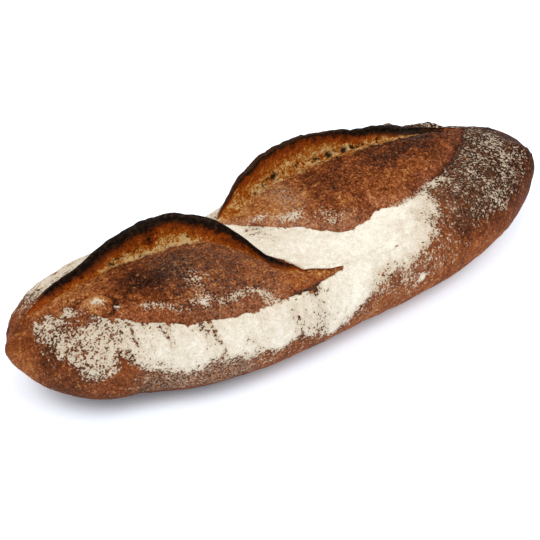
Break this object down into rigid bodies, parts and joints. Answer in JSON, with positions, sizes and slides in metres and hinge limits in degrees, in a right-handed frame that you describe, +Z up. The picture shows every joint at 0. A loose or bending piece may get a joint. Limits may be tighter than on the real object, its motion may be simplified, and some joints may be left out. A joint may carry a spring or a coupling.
{
  "type": "country loaf",
  "caption": "Long hand-shaped country loaf with a floured crust, slanting slashes opened into dark raised ears over swollen crumb, and a flat baked base.",
  "frame": {"origin": "middle of the loaf's box, on the surface that it stands on", "axes": "+X along the loaf, +Y to the back that the ears lean to, +Z up"},
  "size_m": [0.38, 0.124, 0.0887],
  "materials": {
    "crust": "dry, matt baked crust, brown to near black at the ears, with patches of cream flour"
  },
  "bodies": {
    "root": {"loaf": "crust"}
  },
  "joints": []
}
